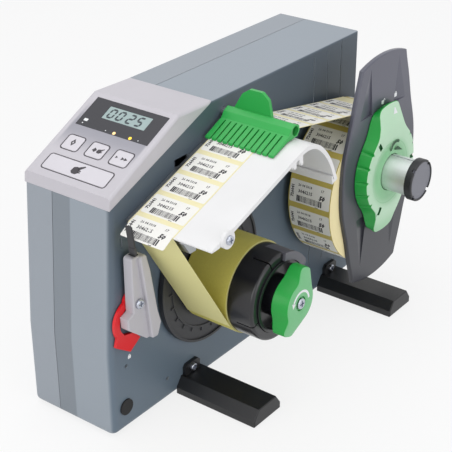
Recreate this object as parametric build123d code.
from build123d import *
from math import sin, cos, tan, asin, atan2, radians, degrees, hypot, pi
import os

os.makedirs("parts", exist_ok=True)

# Tabletop label dispenser, millimetres.
# X runs from the dispensing end of the housing to the unwinder end, the mechanism face is the
# plane Y = 0 and looks along -Y, Z is up from the table.  The finished model is moved at the end
# so that its origin is the middle of the bounding box's base.

# Housing
HOUSING_L = 400.0
HOUSING_H = 286.0
HOUSING_T = 101.0
SEAM_Y = 67.0
WALL = 3.0
SEAM_GAP = 0.6
END_KINK_Z = HOUSING_H * 0.32
END_LEAN_X = 10.6
PANEL_DROP = 54.7
PANEL_FOOT_Z = HOUSING_H - PANEL_DROP
PANEL_LIP_X = END_LEAN_X + 1.4
PANEL_KINK_X = PANEL_LIP_X + 92.4
PANEL_TOP_X = PANEL_KINK_X + 47.6
CORNER_R = 8.0
EDGE_R = 2.0
GROOVE_X = HOUSING_L - 82.0
GROOVE_PITCH = 25.0
GROOVE_COUNT = 3
GROOVE_W = 1.6
GROOVE_D = 1.0
GROOVE_FOOT_Z = 40.0
PAD_H = 1.2
PAD_R = 8.0

# General clearances
RUN_GAP = 0.3
BEARING_GAP = 0.05
SLIDE_GAP = 0.1
FIT_GAP = 0.2
SEAT_GAP = 0.02

# Chassis plate behind the front wall
CHASSIS_Y = 14.0
CHASSIS_T = 4.0
CHASSIS_INSET = 8.0
BOSS_R = 5.0

# Media
MEDIA_W = 50.0
MEDIA_BACK_Y = -8.0
WEB_T = 0.3
LABEL_T = 0.15
LABEL_PITCH = 29.3
LABEL_LEN = 26.0
LABEL_MARGIN = 1.2
LABEL_EDGE = 1.0
LABEL_DROOP = 11.35
WEB_LIFT = 0.05
LABEL_COUNT = 5
SPAN_LABELS = 6
LABEL_FIRST_OUT = 15.2

# Path plate
PLATE_EDGE_X = 24.4
PLATE_EDGE_Z = PANEL_FOOT_Z - 12.6
PLATE_SLOPE = 18.65
PLATE_CREST_X = 152.0
PLATE_T = 4.2
PLATE_BACK_Y = -8.0
PLATE_W = 90.0
CREST_R = 34.0
CREST_END = 50.0
FLANK_R = 80.0
FLANK_END = 24.0
FLANK_LEN = 14.0
PRONG_T = 2.6
EAR_X = 43.5
EAR_R = 8.0
EAR_T = 3.5

# Unwinder
SHAFT_X = HOUSING_L - 49.5
SHAFT_R = 19.0
SHAFT_END_Y = -104.0
SHAFT_FOOT_R = 32.0
SHAFT_FOOT_T = 6.0
CAP_R = 22.0
CAP_T = 8.0
ROLL_R = 82.0
CORE_BORE_R = 38.0
CORE_T = 4.0
ROLL_SHIFT_X = -3.5
HUB_DISC_R = 34.0
HUB_DISC_T = 7.4
FLANGE_R = 125.0
FLANGE_OVER_FOOT = 20.5
FLANGE_HALF_W = 70.0
FLANGE_NECK_W = 50.0
FLANGE_END_W = 40.0
FLANGE_T = 4.5
FLANGE_HUB_R = 23.0
LOCK_HALF_L = 68.0
LOCK_HALF_W = 55.0
LOCK_END_W = 19.0
LOCK_T = 12.0
LOCK_RECESS = 1.0
LOCK_RISE = 3.0

# Rewinder
SPINDLE_R = 6.0
DISC_BACK_Y = -1.5
DISC_T = 3.5
DISC_RIM = 1.5
REW_CORE_R = 38.0
LINER_WOUND_R = 45.5
DRUM_R = 44.0
DRUM_W = 27.5
DRUM_RIM_R = 35.8
DRUM_HUB_R = 20.0
REW_KNOB_HALF_L = 40.0
REW_KNOB_HALF_W = 29.0
REW_KNOB_END_W = 11.0
REW_KNOB_T = 17.0
REW_KNOB_TILT = -10.0
KNOB_SCREW_R = 2.5

# Hold-down comb
COMB_X = PLATE_CREST_X + 17.0
COMB_PIN_R = 3.0
COMB_W = 75.0
COMB_BACK_Y = -4.5
COMB_FINGERS = 12
COMB_SLOT = 1.6
COMB_TIP_X = PLATE_CREST_X - 16.5
COMB_TAB_W = 44.0
COMB_TAB_BACK_Y = -9.0
COMB_TAB_H = 26.7

# Label sensor arm and red lock lever
ARM_X = 27.0
ARM_Z = PLATE_EDGE_Z - 79.7
ARM_REACH = 25.0
ARM_PIN_R = 3.0
ARM_BACK_Y = -4.4
ARM_T = 9.6
ARM_RIB_T = 4.0
LEVER_T = 3.0
ROD_R = 1.8

# Feet
FOOT_X = (HOUSING_L * 0.28, HOUSING_L - 42.5)
FOOT_BASE_W = 41.5
FOOT_TOP_W = 27.5
FOOT_H = 18.0
FOOT_SHOULDER_Z = 8.0
FOOT_REACH = 94.0
FOOT_TAB_W = 22.0
FOOT_TAB_Z = 29.0
FOOT_SCREW_Z = 22.6

# Heights and places that follow from the sizes above
SHAFT_Z = FOOT_H + FLANGE_OVER_FOOT + FLANGE_R
DISC_R = (PLATE_EDGE_Z - FOOT_TAB_Z) / 2 - 22.15
REW_X = ARM_X + ARM_REACH + 15.5 + DISC_R
REW_Z = (PLATE_EDGE_Z + FOOT_TAB_Z) / 2 - 5.15

# Control panel
PANEL_WALL = 2.5
PANEL_LIP_Z = PANEL_FOOT_Z + 11.2
PANEL_KINK_Z = HOUSING_H + 2.0
PANEL_END_Z = HOUSING_H + 0.4
PANEL_EDGE_R = 3.0
WINDOW_W = 85.0
WINDOW_H = 35.0
WINDOW_C = (2.2, 79.8)
WINDOW_T = 1.2
LCD_W = 50.0
LCD_H = 15.0
LCD_C = (5.0, 84.0)
LED_R = 1.6
LED_U = 64.4
LED_X = (4.8, 23.6)
KEY_W = 18.5
KEY_H = 16.0
KEY_U = 41.7
KEY_PITCH = 28.6
KEY_X = 2.6
START_KEY_W = 74.0
START_KEY_H = 16.5
START_KEY_C = (-0.5, 16.5)
KEY_RISE = 0.3
KEY_GAP = 0.35
KEY_R = 2.5
KEY_DEPTH = 3.6

# Drive
MOTOR_X = REW_X + 94.8
MOTOR_Z = 80.0
MOTOR_W = 57.0
MOTOR_L = 48.0
MOTOR_SHAFT_R = 3.2
MOTOR_SPIGOT_R = MOTOR_W / 3
MOTOR_PULLEY_R = 10.0
REW_PULLEY_R = 32.0
PULLEY_T = 7.0
PULLEY_FLANGE = 1.5
BELT_T = 1.2
BEARING_R = 16.0
BEARING_W = 7.0
HUB_LEN = 24.0
BEARING_STEP = 2.0


def slab(pts, y0, y1):
    """Prism of an X-Z outline between two Y planes."""
    with BuildSketch(Plane.XZ.offset(-y0)) as s:
        with BuildLine():
            Polyline(*pts, close=True)
        make_face()
    return extrude(s.sketch, amount=y1 - y0, dir=(0, 1, 0))


def rod(x, z, r, y0, y1):
    """Round bar along Y."""
    bar = Cylinder(r, y1 - y0, rotation=(-90, 0, 0))
    return Pos(x, (y0 + y1) / 2, z) * bar


def ring(x, z, r_out, r_in, y0, y1):
    return rod(x, z, r_out, y0, y1) - rod(x, z, r_in, y0 - 1, y1 + 1)


def block(x0, x1, y0, y1, z0, z1):
    return Pos((x0 + x1) / 2, (y0 + y1) / 2, (z0 + z1) / 2) * Box(x1 - x0, y1 - y0, z1 - z0)


def polar(cx, cz, r, a):
    return (cx + r * cos(radians(a)), cz + r * sin(radians(a)))


def turn(pts, cx, cz, a):
    """Turn X-Z points about a centre, degrees anticlockwise as seen from the front."""
    ca, sa = cos(radians(a)), sin(radians(a))
    return [(cx + x * ca - z * sa, cz + x * sa + z * ca) for x, z in pts]


def outline_face(y, edges):
    """Face in the plane Y = y from a closed run of X-Z line and arc edges."""
    with BuildSketch(Plane.XZ.offset(-y)) as s:
        with BuildLine():
            for kind, *data in edges:
                if kind == "line":
                    Line(*data)
                else:
                    ThreePointArc(*data)
        make_face()
    return s.sketch


parts = {}

# Housing
CASE_BASE = PAD_H
body_pts = [
    (0, CASE_BASE),
    (0, END_KINK_Z),
    (END_LEAN_X, PANEL_FOOT_Z),
    (PANEL_TOP_X, HOUSING_H),
    (HOUSING_L, HOUSING_H),
    (HOUSING_L, CASE_BASE),
]


def body_face(y, inset=0.0):
    with BuildSketch(Plane.XZ.offset(-y)) as s:
        with BuildLine():
            Polyline(*body_pts, close=True)
        make_face()
        fillet(s.vertices().sort_by(lambda v: v.X + v.Y)[0], CORNER_R)
        if inset:
            offset(amount=-inset, kind=Kind.INTERSECTION)
    return s.sketch


def body_shell(y0, y1, open_at):
    """Hollow half of the housing, open towards the seam."""
    outer = extrude(body_face(y0), amount=y1 - y0, dir=(0, 1, 0))
    if open_at == "rear":
        inner = extrude(body_face(y0 + WALL, WALL), amount=y1 - y0, dir=(0, 1, 0))
    else:
        inner = extrude(body_face(y0 - 1, WALL), amount=y1 - WALL - y0 + 1, dir=(0, 1, 0))
    return outer, inner


def rim_edges(solid, y, test):
    """Edges of a solid that lie in the plane Y = y and pass a test on their centre."""
    found = []
    for e in solid.edges():
        ends = [abs(e.position_at(t).Y - y) for t in (0, 0.5, 1)]
        if max(ends) < 0.01 and test(e.center()):
            found.append(e)
    return found


def on_end_or_base(c):
    return c.X < END_LEAN_X + 0.5 or c.Z < CASE_BASE + 0.5


def on_top_or_far(c):
    return c.Z > HOUSING_H - 0.5 or c.X > HOUSING_L - 0.5


outer, inner = body_shell(0, SEAM_Y, "rear")
outer = fillet(rim_edges(outer, 0, on_end_or_base), CORNER_R)
outer = fillet(rim_edges(outer, 0, on_top_or_far), EDGE_R)
front_casing = outer - inner

# Vertical grooves near the far end
for i in range(GROOVE_COUNT):
    gx = GROOVE_X + i * GROOVE_PITCH
    front_casing -= block(gx - GROOVE_W / 2, gx + GROOVE_W / 2, -1, GROOVE_D, GROOVE_FOOT_Z, HOUSING_H - 6)

# Bosses that carry the chassis
BOSS_TOP_Z = HOUSING_H - 24.0
BOSS_FAR_X = HOUSING_L - 18.0
BOSS_MID_X = HOUSING_L * 0.5125
BOSSES = [
    (30.0, 32.0),
    (BOSS_MID_X - 9.0, 24.0),
    (BOSS_FAR_X, 40.0),
    (BOSS_FAR_X, BOSS_TOP_Z),
    (BOSS_MID_X, BOSS_TOP_Z),
    (32.0, PANEL_FOOT_Z - 26.3),
]
for bx, bz in BOSSES:
    front_casing += rod(bx, bz, BOSS_R, WALL - 0.2, CHASSIS_Y)

# Openings in the mechanism face
ACCESSORY_R = 2.1
ACCESSORY_BOSS_R = 4.5
ACCESSORY_L = 9.0
ACCESSORY_HOLES = [(21.6, 70.0), (78.0, 25.7)]
for hx, hz in ACCESSORY_HOLES:
    front_casing += rod(hx, hz, ACCESSORY_BOSS_R, WALL - 0.2, ACCESSORY_L)
    front_casing -= rod(hx, hz, ACCESSORY_R, -1, ACCESSORY_L + 1)
PLUG_X, PLUG_Z, PLUG_R = 18.7, 27.0, 6.0
front_casing -= rod(PLUG_X, PLUG_Z, PLUG_R, -1, WALL + 1)
front_casing -= rod(REW_X, REW_Z, SPINDLE_R + 4, -1, WALL + 1)
front_casing -= rod(SHAFT_X, SHAFT_Z, SHAFT_R + 1, -1, WALL + 1)
SLIT_X, SLIT_Z, SLIT_W, SLIT_H = 23.3, PLATE_EDGE_Z - 22.2, 1.8, 9.0
front_casing -= block(SLIT_X - SLIT_W / 2, SLIT_X + SLIT_W / 2, -1, WALL + 1,
                      SLIT_Z - SLIT_H / 2, SLIT_Z + SLIT_H / 2)
SENSOR_X, SENSOR_Z, SENSOR_W, SENSOR_H = 107.0, PLATE_EDGE_Z + 24.3, 20.0, 9.0
front_casing -= block(SENSOR_X - SENSOR_W / 2, SENSOR_X + SENSOR_W / 2, -1, WALL + 1,
                      SENSOR_Z - SENSOR_H / 2, SENSOR_Z + SENSOR_H / 2)

# Pivot pin of the sensor arm and pin of the comb grow from the mechanism face
front_casing += rod(ARM_X, ARM_Z, ARM_PIN_R, ARM_BACK_Y - ARM_T, 0.2)
COMB_Z = PLATE_EDGE_Z + (PLATE_CREST_X - PLATE_EDGE_X) * tan(radians(PLATE_SLOPE)) + 9.5

# Foot tabs are screwed to the face
SCREW_R = 2.0
for fx in FOOT_X:
    front_casing -= rod(fx, FOOT_SCREW_Z, SCREW_R + 0.2, -1, WALL + 1)
# Bracket screws
BRACKET_SCREWS = [(72.0, PLATE_EDGE_Z - 0.3), (128.0, PLATE_EDGE_Z - 0.3)]
for sx, sz in BRACKET_SCREWS:
    front_casing -= rod(sx, sz, SCREW_R + 0.2, -1, WALL + 1)
# Pad pockets under the base
PADS = [(x, HOUSING_T - 17.0) for x in (30.0, HOUSING_L - 30.0)]
parts["front_casing"] = front_casing

# Rear cover
COVER_Y = SEAM_Y + SEAM_GAP
outer, inner = body_shell(COVER_Y, HOUSING_T, "front")
outer = fillet(rim_edges(outer, HOUSING_T, on_end_or_base), CORNER_R / 2)
outer = fillet(rim_edges(outer, HOUSING_T, on_top_or_far), EDGE_R)
rear_cover = outer - inner
# Vent slots
VENT_X, VENT_Z = HOUSING_L * 0.5625, HOUSING_H - 111.0
VENT_W, VENT_H, VENT_PITCH, VENT_COUNT = 3.0, 60.0, 9.0, 12
for i in range(VENT_COUNT):
    vx = VENT_X + (i - (VENT_COUNT - 1) / 2) * VENT_PITCH
    rear_cover -= block(vx - VENT_W / 2, vx + VENT_W / 2, HOUSING_T - WALL - 1, HOUSING_T + 1,
                        VENT_Z - VENT_H / 2, VENT_Z + VENT_H / 2)
# Mains inlet, switch and interface cut-outs
INLET_X, INLET_Z, INLET_W, INLET_H = HOUSING_L - 70.0, 45.0, 28.0, 24.0
INLET_BEZEL, SWITCH_BEZEL, BEZEL_GAP = 3.0, 2.0, 10.0
SWITCH_W, SWITCH_H = 22.0, 28.0
SWITCH_X = INLET_X - INLET_W / 2 - INLET_BEZEL - BEZEL_GAP - SWITCH_BEZEL - SWITCH_W / 2
SWITCH_Z = INLET_Z
PORT_X, PORT_Z, PORT_PITCH, PORT_R, PORT_COUNT = 100.0, 45.0, 30.0, 8.0, 3
rear_cover -= block(INLET_X - INLET_W / 2, INLET_X + INLET_W / 2, HOUSING_T - WALL - 1, HOUSING_T + 1,
                    INLET_Z - INLET_H / 2, INLET_Z + INLET_H / 2)
rear_cover -= block(SWITCH_X - SWITCH_W / 2, SWITCH_X + SWITCH_W / 2, HOUSING_T - WALL - 1, HOUSING_T + 1,
                    SWITCH_Z - SWITCH_H / 2, SWITCH_Z + SWITCH_H / 2)
for i in range(PORT_COUNT):
    rear_cover -= rod(PORT_X + i * PORT_PITCH, PORT_Z, PORT_R, HOUSING_T - WALL - 1, HOUSING_T + 1)
COVER_SCREW_R = 2.5
COVER_SCREW_HEAD_R = 4.5
COVER_SCREWS = BOSSES
COVER_SCREW_L = 22.0
for sx, sz in COVER_SCREWS:
    rear_cover -= rod(sx, sz, COVER_SCREW_R, HOUSING_T - WALL - 1, HOUSING_T + 1)
parts["rear_cover"] = rear_cover

# Dark gasket that shows as the seam line
SEAM_INSET = 0.8
gasket = extrude(body_face(SEAM_Y, SEAM_INSET), amount=SEAM_GAP, dir=(0, 1, 0))
gasket -= extrude(body_face(SEAM_Y - 1, WALL), amount=SEAM_GAP + 2, dir=(0, 1, 0))
parts["seam_gasket"] = gasket

# Rubber pads: under the casing and under each foot bar
pads = []
for px, py in PADS:
    pads.append(Pos(px, py, PAD_H / 2) * Cylinder(PAD_R, PAD_H))
for fx in FOOT_X:
    pads.append(Pos(fx, -FOOT_REACH + PAD_R + 4, PAD_H / 2) * Cylinder(PAD_R, PAD_H))
parts["rubber_pads"] = Compound(children=pads)

# Chassis plate
with BuildSketch(Plane.XZ.offset(-CHASSIS_Y)) as s:
    with BuildLine():
        Polyline(*body_pts, close=True)
    make_face()
    offset(amount=-(WALL + CHASSIS_INSET), kind=Kind.INTERSECTION)
chassis = extrude(s.sketch, amount=CHASSIS_T, dir=(0, 1, 0))
HUB_R = BEARING_R + 4
HUB_Y0 = CHASSIS_Y + CHASSIS_T
chassis += rod(REW_X, REW_Z, HUB_R, HUB_Y0 - 0.5, HUB_Y0 + HUB_LEN)
chassis -= rod(REW_X, REW_Z, BEARING_R + 0.02, CHASSIS_Y - 1, HUB_Y0 + HUB_LEN + 1)
# A collar between the bearings
chassis += ring(REW_X, REW_Z, BEARING_R + 1, BEARING_R - BEARING_STEP, CHASSIS_Y + BEARING_W,
                HUB_Y0 + HUB_LEN - BEARING_W)
chassis -= rod(MOTOR_X, MOTOR_Z, MOTOR_SPIGOT_R + FIT_GAP, CHASSIS_Y - 1, HUB_Y0 + 1)
BOARD_X0, BOARD_X1 = BOSS_MID_X + 17.0, HOUSING_L - 32.0
BOARD_Z0, BOARD_Z1 = BOSS_TOP_Z - 56.0, BOSS_TOP_Z
BOARD_Y = HUB_Y0 + 8.0
BOARD_T = 1.6
STANDOFFS = [(x, z) for x in (BOARD_X0 + 6, BOARD_X1 - 6) for z in (BOARD_Z0 + 6, BOARD_Z1 - 6)]
for sx, sz in STANDOFFS:
    chassis += rod(sx, sz, 3.0, HUB_Y0 - 0.5, BOARD_Y)
for sx, sz in COVER_SCREWS:
    chassis += rod(sx, sz, BOSS_R, HUB_Y0 - 0.5, HOUSING_T - WALL)
    chassis -= rod(sx, sz, COVER_SCREW_R - 0.2, HOUSING_T - WALL - COVER_SCREW_L, HOUSING_T)
chassis -= rod(SHAFT_X, SHAFT_Z, 6, CHASSIS_Y - 1, HUB_Y0 + 1)
parts["chassis_plate"] = chassis

# Round plug and rear cover screws
parts["blanking_plug"] = rod(PLUG_X, PLUG_Z, PLUG_R + 2, -1.6, 0) + rod(PLUG_X, PLUG_Z, PLUG_R - FIT_GAP, -0.2, WALL + 2)
screws = []
for sx, sz in COVER_SCREWS:
    head = rod(sx, sz, COVER_SCREW_HEAD_R, HOUSING_T, HOUSING_T + 2.4)
    head = fillet(head.edges().group_by(Axis.Y)[-1], 1.2)
    screws.append(head + rod(sx, sz, COVER_SCREW_R - 0.3, HOUSING_T - COVER_SCREW_L, HOUSING_T + 0.2))
parts["cover_screws"] = Compound(children=screws)

# Control panel
panel_pts = [
    (END_LEAN_X, PANEL_FOOT_Z),
    (PANEL_LIP_X, PANEL_LIP_Z),
    (PANEL_KINK_X, PANEL_KINK_Z),
    (PANEL_TOP_X, PANEL_END_Z),
    (PANEL_TOP_X, HOUSING_H),
]
PANEL_TILT = degrees(atan2(PANEL_KINK_Z - PANEL_LIP_Z, PANEL_KINK_X - PANEL_LIP_X))
panel_plane = Plane(
    origin=(END_LEAN_X + 1.4, HOUSING_T / 2, PANEL_LIP_Z),
    x_dir=(0, -1, 0),
    z_dir=(-sin(radians(PANEL_TILT)), 0, cos(radians(PANEL_TILT))),
)


def on_panel(x, u, w, h, d0, d1, r=0.0):
    """Plate on the sloping panel: x to the right of its middle, u up the slope, d out of it."""
    with BuildSketch(panel_plane.offset(d0)) as s:
        with Locations((x, u)):
            if r:
                RectangleRounded(w, h, r)
            else:
                Rectangle(w, h)
    return extrude(s.sketch, amount=d1 - d0)


panel = slab(panel_pts, 0, HOUSING_T)


def on_panel_top(c):
    joint_z = PANEL_FOOT_Z + (c.X - END_LEAN_X) * PANEL_DROP / (PANEL_TOP_X - END_LEAN_X)
    return c.Z > PANEL_FOOT_Z + 8 and c.Z > joint_z + 4


panel = fillet(rim_edges(panel, 0, on_panel_top), PANEL_EDGE_R)
panel = fillet(rim_edges(panel, HOUSING_T, on_panel_top), PANEL_EDGE_R)
PT = radians(PANEL_TILT)
slope_len = hypot(PANEL_KINK_X - PANEL_LIP_X, PANEL_KINK_Z - PANEL_LIP_Z)


def panel_pt(u, d):
    """X-Z point on the panel, u up the slope and d out of it."""
    return (PANEL_LIP_X + u * cos(PT) - d * sin(PT), PANEL_LIP_Z + u * sin(PT) + d * cos(PT))


panel_in = [
    (END_LEAN_X + PANEL_WALL - 6, PANEL_FOOT_Z - 3.3),
    panel_pt(PANEL_WALL + 0.5, -PANEL_WALL),
    panel_pt(slope_len - PANEL_WALL * 0.3, -PANEL_WALL),
    (PANEL_TOP_X - 9, PANEL_END_Z - PANEL_WALL),
    (PANEL_TOP_X - 9, PANEL_FOOT_Z + 50),
]
hollow = slab(panel_in, PANEL_WALL, HOUSING_T - PANEL_WALL)
hollow -= block(END_LEAN_X - 9, END_LEAN_X + 4, 0, HOUSING_T, PANEL_FOOT_Z - 20, PANEL_FOOT_Z + 9)
panel -= hollow
panel -= on_panel(WINDOW_C[0], WINDOW_C[1], WINDOW_W + FIT_GAP, WINDOW_H + FIT_GAP, -WINDOW_T, 2)
panel -= on_panel(LCD_C[0], LCD_C[1], LCD_W + 2, LCD_H + 2, -9, 2)
KEYS = {
    "key_feed": (KEY_X - KEY_PITCH, KEY_U, KEY_W, KEY_H),
    "key_clear": (KEY_X, KEY_U, KEY_W, KEY_H),
    "key_skip": (KEY_X + KEY_PITCH, KEY_U, KEY_W, KEY_H),
    "key_start": (START_KEY_C[0], START_KEY_C[1], START_KEY_W, START_KEY_H),
}
for name, (kx, ku, kw, kh) in KEYS.items():
    panel -= on_panel(kx, ku, kw + 2 * KEY_GAP, kh + 2 * KEY_GAP, -9, 2, KEY_R + KEY_GAP)
    key = on_panel(kx, ku, kw, kh, -KEY_DEPTH, KEY_RISE, KEY_R)
    parts[name] = fillet(key.faces().sort_by(Axis.Z)[-1].edges(), 0.3)
parts["panel_housing"] = panel

window = on_panel(WINDOW_C[0], WINDOW_C[1], WINDOW_W, WINDOW_H, -WINDOW_T, 0)
window -= on_panel(LCD_C[0], LCD_C[1], LCD_W + FIT_GAP, LCD_H + FIT_GAP, -3, 1)
for lx in LED_X:
    with BuildSketch(panel_plane.offset(-WINDOW_T)) as s:
        with Locations((lx, LED_U)):
            Circle(LED_R + 0.05)
    window -= extrude(s.sketch, amount=WINDOW_T + 1)
parts["display_window"] = window
lcd = on_panel(LCD_C[0], LCD_C[1], LCD_W, LCD_H, -PANEL_WALL, -0.2)
parts["display_lcd"] = lcd
leds = []
for lx in LED_X:
    with BuildSketch(panel_plane.offset(-WINDOW_T)) as s:
        with Locations((lx, LED_U)):
            Circle(LED_R)
    leds.append(extrude(s.sketch, amount=WINDOW_T + 0.3))
parts["status_leds"] = Compound(children=leds)
BOARD_DEPTH = KEY_DEPTH + 0.9
RIB_U = (START_KEY_C[1] + START_KEY_H / 2 + KEY_U - KEY_H / 2) / 2
RIB_H = (KEY_U - KEY_H / 2) - (START_KEY_C[1] + START_KEY_H / 2) - 4 * KEY_GAP
keypad = on_panel(KEY_X - 2.0, RIB_U, 80.0, 42.0, -BOARD_DEPTH - 1.6, -BOARD_DEPTH)
keypad += on_panel(KEY_X - 2.0, RIB_U, 70.0, RIB_H, -BOARD_DEPTH - 0.2, -PANEL_WALL)
parts["keypad_board"] = keypad

# Path plate
SL = radians(PLATE_SLOPE)


def plate_top(x):
    return PLATE_EDGE_Z + (x - PLATE_EDGE_X) * tan(SL)


C1 = (PLATE_CREST_X + CREST_R * sin(SL), plate_top(PLATE_CREST_X) - CREST_R * cos(SL))
P1 = polar(C1[0], C1[1], CREST_R, CREST_END)
C2 = polar(P1[0], P1[1], -FLANK_R, CREST_END)


def plate_point(offset_out, station):
    """Point on the plate's cross-section, offset outwards from its upper surface."""
    if station == "edge":
        return (PLATE_EDGE_X - offset_out * sin(SL), PLATE_EDGE_Z + offset_out * cos(SL))
    if station == "crest0":
        return polar(C1[0], C1[1], CREST_R + offset_out, 90 + PLATE_SLOPE)
    if station == "crest_mid":
        return polar(C1[0], C1[1], CREST_R + offset_out, (90 + PLATE_SLOPE + CREST_END) / 2)
    if station == "crest1":
        return polar(C1[0], C1[1], CREST_R + offset_out, CREST_END)
    if station == "flank_mid":
        return polar(C2[0], C2[1], FLANK_R + offset_out, (CREST_END + FLANK_END) / 2)
    if station == "flank1":
        return polar(C2[0], C2[1], FLANK_R + offset_out, FLANK_END)
    a = polar(C2[0], C2[1], FLANK_R + offset_out, FLANK_END)
    return (a[0] + FLANK_LEN * sin(radians(FLANK_END)), a[1] - FLANK_LEN * cos(radians(FLANK_END)))


PLATE_FRONT_Y = PLATE_BACK_Y - PLATE_W
STATIONS = ("edge", "crest0", "crest_mid", "crest1", "flank_mid", "flank1", "end")
o = {k: plate_point(0, k) for k in STATIONS}
n = {k: plate_point(-PLATE_T, k) for k in STATIONS}
NOSE = 1.4
nose_top = (o["edge"][0] + NOSE * cos(SL), o["edge"][1] + NOSE * sin(SL))
nose_low = (o["edge"][0] + NOSE * sin(SL), o["edge"][1] - NOSE * cos(SL))
heel = (n["edge"][0] + 9 * cos(SL), n["edge"][1] + 9 * sin(SL))
plate_face = outline_face(PLATE_FRONT_Y, [
    ("line", o["edge"], o["crest0"]),
    ("arc", o["crest0"], o["crest_mid"], o["crest1"]),
    ("arc", o["crest1"], o["flank_mid"], o["flank1"]),
    ("line", o["flank1"], o["end"]),
    ("line", o["end"], n["end"]),
    ("line", n["end"], n["flank1"]),
    ("arc", n["flank1"], n["flank_mid"], n["crest1"]),
    ("arc", n["crest1"], n["crest_mid"], n["crest0"]),
    ("line", n["crest0"], heel),
    ("line", heel, nose_low),
    ("line", nose_low, o["edge"]),
])
path_plate = extrude(plate_face, amount=PLATE_W, dir=(0, 1, 0))
# Snap prongs inside the open profile
CREST_Z = plate_top(PLATE_CREST_X)
prong_a = [(-3.5, -4.0), (2.5, -2.0), (3.0, -11.8), (0.4, -13.2), (-0.8, -9.2), (-2.6, -11.2)]
prong_b = [(-14.0, -7.6), (-7.4, -5.4), (-7.2, -12.4), (-10.6, -13.2), (-11.4, -10.4), (-13.6, -11.2)]
for prong in (prong_a, prong_b):
    path_plate += slab([(PLATE_CREST_X + x, CREST_Z + z) for x, z in prong], PLATE_FRONT_Y, PLATE_BACK_Y)
ex, ez = n["end"]
prong_c = [(0.4, 1.0), (-4.2, -1.4), (-5.6, 6.4), (-3.6, 7.0), (-2.9, 2.6), (-0.5, 4.4)]
path_plate += slab([(ex + x, ez + z) for x, z in prong_c], PLATE_FRONT_Y, PLATE_BACK_Y)
# Ear that carries the screw at the open front end
EAR_Z = plate_top(EAR_X) - PLATE_T / 2
path_plate += rod(EAR_X, EAR_Z, EAR_R, PLATE_FRONT_Y - EAR_T, PLATE_FRONT_Y)
path_plate -= rod(EAR_X, EAR_Z, 1.6, PLATE_FRONT_Y - EAR_T - 1, PLATE_FRONT_Y + 10)
parts["path_plate"] = path_plate


def cross_screw(x, z, y_seat, head_r, head_t, shank_r, shank_l):
    """Pan-head screw looking along -Y with a cross recess."""
    head = rod(x, z, head_r, y_seat - head_t, y_seat)
    head = fillet(head.edges().group_by(Axis.Y)[0], head_t * 0.45)
    head += rod(x, z, shank_r, y_seat - 0.2, y_seat + shank_l)
    arm = head_r * 0.62
    w = head_r * 0.16
    head -= block(x - arm, x + arm, y_seat - head_t - 1, y_seat - head_t * 0.45, z - w, z + w)
    head -= block(x - w, x + w, y_seat - head_t - 1, y_seat - head_t * 0.45, z - arm, z + arm)
    return head


parts["ear_screw"] = cross_screw(EAR_X, EAR_Z, PLATE_FRONT_Y - EAR_T, 4.2, 2.4, 1.5, EAR_T + 8)

# Bracket under the plate
BRACKET_T = 6.0
BRACKET_X0, BRACKET_X1 = 48.0, 134.0


def under(x, drop):
    return (x, plate_top(x) - (PLATE_T + drop) / cos(SL))


BRACKET_NOSE_X = PLATE_EDGE_X + 6.1
bracket_pts = [
    under(BRACKET_NOSE_X, 0),
    under(BRACKET_X1, 0),
    under(BRACKET_X1, BRACKET_T),
    under(BRACKET_X0, BRACKET_T),
    (BRACKET_NOSE_X + 16, PLATE_EDGE_Z - 18.7),
    (BRACKET_NOSE_X + 8, PLATE_EDGE_Z - 18.7),
    (BRACKET_NOSE_X, PLATE_EDGE_Z - 6.7),
]
bracket = slab(bracket_pts, PLATE_FRONT_Y + 34, 0)
for x0 in (BRACKET_X0 + 10, BRACKET_X0 + 48):
    bracket -= block(x0, x0 + 30, PLATE_FRONT_Y + 44, -12, PLATE_EDGE_Z - 18, PLATE_EDGE_Z + 61)
TAIL_X0 = BRACKET_X0 + 12
TAIL_Z = PLATE_EDGE_Z - 7.0
TAIL_T = 4.0
tail = [under(TAIL_X0, BRACKET_T - 1), under(BRACKET_X1, BRACKET_T - 1), (BRACKET_X1, TAIL_Z), (TAIL_X0, TAIL_Z)]
bracket += slab(tail, -TAIL_T, 0)
for sx, sz in BRACKET_SCREWS:
    bracket -= rod(sx, sz, SCREW_R + 0.2, -6, 1)
parts["path_bracket"] = bracket
screws = []
for sx, sz in BRACKET_SCREWS:
    screws.append(cross_screw(sx, sz, -TAIL_T, 4.0, 2.4, SCREW_R, 12.0))
parts["bracket_screws"] = Compound(children=screws)

# Media
MEDIA_FRONT_Y = MEDIA_BACK_Y - MEDIA_W
CORE_HANG = CORE_BORE_R - SHAFT_R - RUN_GAP
ROLL_X = SHAFT_X + ROLL_SHIFT_X
ROLL_Z = SHAFT_Z - (CORE_HANG ** 2 - ROLL_SHIFT_X ** 2) ** 0.5


def tangent_top(ca, ra, cb, rb):
    """Upper outer tangent from circle a to circle b: both touch points."""
    d = hypot(cb[0] - ca[0], cb[1] - ca[1])
    a = degrees(atan2(cb[1] - ca[1], cb[0] - ca[0]) + asin((rb - ra) / d)) + 90
    return polar(ca[0], ca[1], ra, a), polar(cb[0], cb[1], rb, a), a


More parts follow.
